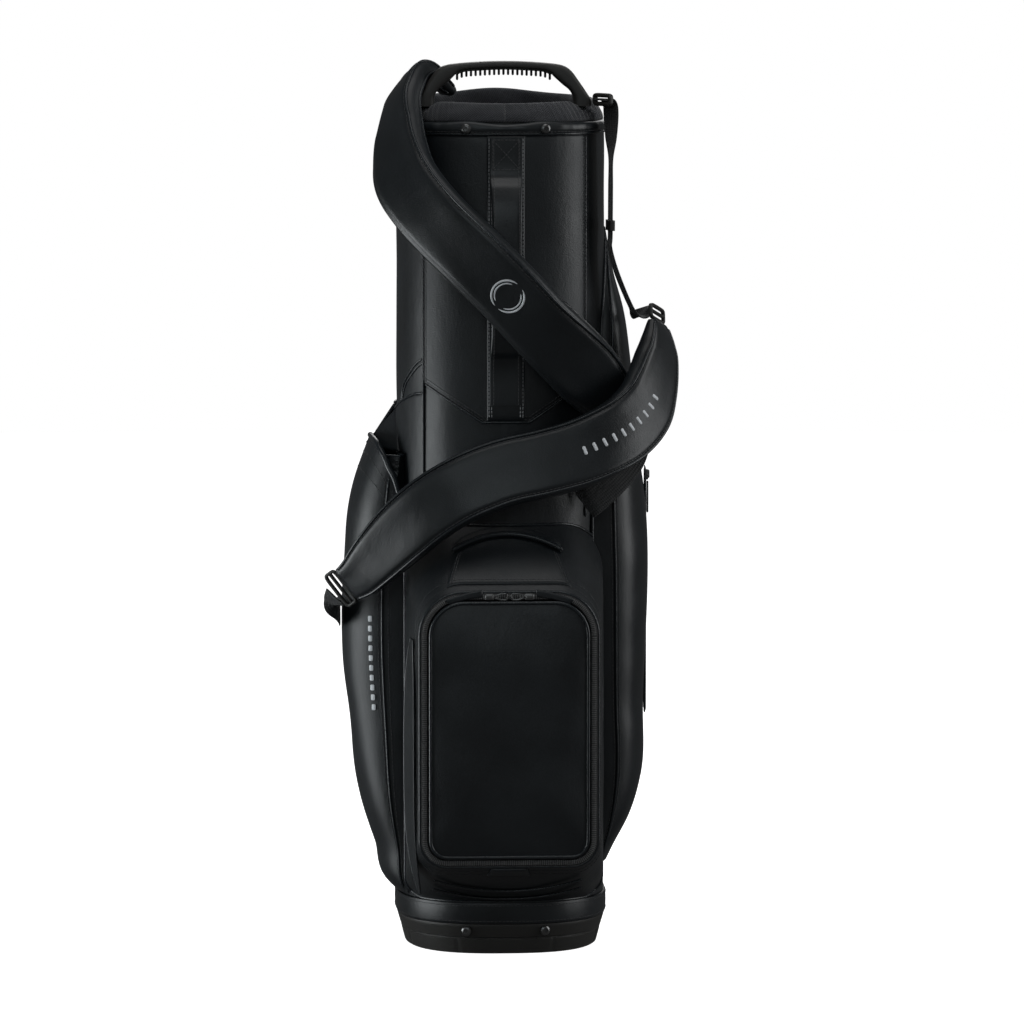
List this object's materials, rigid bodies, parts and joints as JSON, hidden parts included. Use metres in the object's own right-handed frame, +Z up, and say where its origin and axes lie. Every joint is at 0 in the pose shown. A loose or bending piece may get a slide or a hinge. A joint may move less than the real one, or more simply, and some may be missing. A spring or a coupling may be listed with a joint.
{
  "type": "golf staff bag",
  "caption": "Golf staff bag: rounded-square leather tube on a moulded boot, divided club mouth with moulded handle, zipped ball pocket, side pockets with bottle well, padded straps",
  "frame": {"origin": "centre of the base's underside, on the floor", "axes": "+Z up along the tube, -Y the front with the ball pocket, +X the side with the tall closed pocket"},
  "size_m": [0.363, 0.331, 0.908],
  "materials": {
    "leather": "semi-gloss coated black leather",
    "plastic": "fine-textured moulded black",
    "fabric": "black diagonal twill",
    "lining": "glossy black coated liner",
    "webbing": "ribbed dark webbing",
    "zip": "coil zip on woven tape",
    "dark_metal": "black-plated metal",
    "rubber": "soft moulded rubber"
  },
  "bodies": {
    "bag": {"ball_pocket_housing": "leather", "ball_slider_left": "dark_metal", "ball_slider_right": "dark_metal", "ball_zip_track": "zip", "base_band": "leather", "base_boot": "plastic", "base_screw_1": "dark_metal", "base_screw_2": "dark_metal", "base_screw_3": "dark_metal", "base_screw_4": "dark_metal", "body_tube": "leather", "bottle_floor": "fabric", "bottle_gusset": "leather", "bottle_sleeve": "lining", "carry_handle": "leather", "collar_ring": "plastic", "collar_screw_1": "dark_metal", "collar_screw_2": "dark_metal", "collar_screw_3": "dark_metal", "collar_screw_4": "dark_metal", "divider_curtains": "fabric", "divider_frame": "plastic", "floor_pad": "fabric", "front_panel": "leather", "front_strip": "leather", "handle_comb": "rubber", "hip_pad": "fabric", "left_pocket": "leather", "left_zip_track": "zip", "lid_anchor_tab": "leather", "right_pocket": "leather", "right_zip_track": "zip", "side_flap": "leather", "stay_left": "plastic", "stay_right": "plastic", "strap_buckle_left": "plastic", "strap_buckle_right": "plastic", "strap_loop_right": "plastic", "strap_pad_lower": "leather", "strap_pad_upper": "leather", "strap_tab_left": "webbing", "top_binding": "leather", "top_cuff": "fabric", "top_handle": "plastic", "valuables_panel": "leather", "valuables_welt": "leather", "webbing_left": "webbing", "webbing_right": "webbing", "webbing_tail": "webbing", "zip_garage_left": "leather", "zip_garage_right": "leather"},
    "ball_pocket_lid": {"ball_pocket_lid": "leather"},
    "ball_pull_left": {"ball_pull_left": "dark_metal"},
    "ball_pull_right": {"ball_pull_right": "dark_metal"},
    "left_slider": {"left_slider": "dark_metal"},
    "left_pull": {"left_pull": "dark_metal"},
    "right_slider": {"right_slider": "dark_metal"},
    "right_pull": {"right_pull": "dark_metal"},
    "gusset_pull": {"gusset_pull": "leather"},
    "strap_keeper": {"strap_keeper": "plastic"}
  },
  "joints": [
    {"name": "ball_lid_hinge", "type": "hinge", "parent": "bag", "child": "ball_pocket_lid", "pos_m": [0, -0.1956, 0.1096], "axis": [1, 0, 0], "range_deg": [0, 95]},
    {"name": "ball_pull_left_hinge", "type": "hinge", "parent": "bag", "child": "ball_pull_left", "pos_m": [-0.0146, -0.1914, 0.375], "axis": [0, 0, -1], "range_deg": [0, 85]},
    {"name": "ball_pull_right_hinge", "type": "hinge", "parent": "bag", "child": "ball_pull_right", "pos_m": [0.0146, -0.1914, 0.375], "axis": [0, 0, 1], "range_deg": [0, 85]},
    {"name": "left_slider_slide", "type": "slide", "parent": "bag", "child": "left_slider", "axis": [-0.0684, 0, 0.9977], "range_m": [-0.075, 0]},
    {"name": "left_pull_hinge", "type": "hinge", "parent": "left_slider", "child": "left_pull", "pos_m": [-0.12873, 0.06879, 0.24917], "axis": [0.8968, 0.4382, 0.0615], "range_deg": [0, 85]},
    {"name": "right_slider_slide", "type": "slide", "parent": "bag", "child": "right_slider", "axis": [0, 0, 1], "range_m": [-0.2, 0]},
    {"name": "right_pull_hinge", "type": "hinge", "parent": "right_slider", "child": "right_pull", "pos_m": [0.15132, -0.01071, 0.4745], "axis": [-0.027, -0.9996, 0], "range_deg": [0, 85]},
    {"name": "gusset_pull_hinge", "type": "hinge", "parent": "bag", "child": "gusset_pull", "pos_m": [-0.09749, -0.13053, 0.308], "axis": [-0.0892, 0.996, 0], "range_deg": [0, 60]},
    {"name": "strap_keeper_slide", "type": "slide", "parent": "bag", "child": "strap_keeper", "axis": [0.0042, -0.025, 0.9997], "range_m": [0, 0.055]}
  ]
}
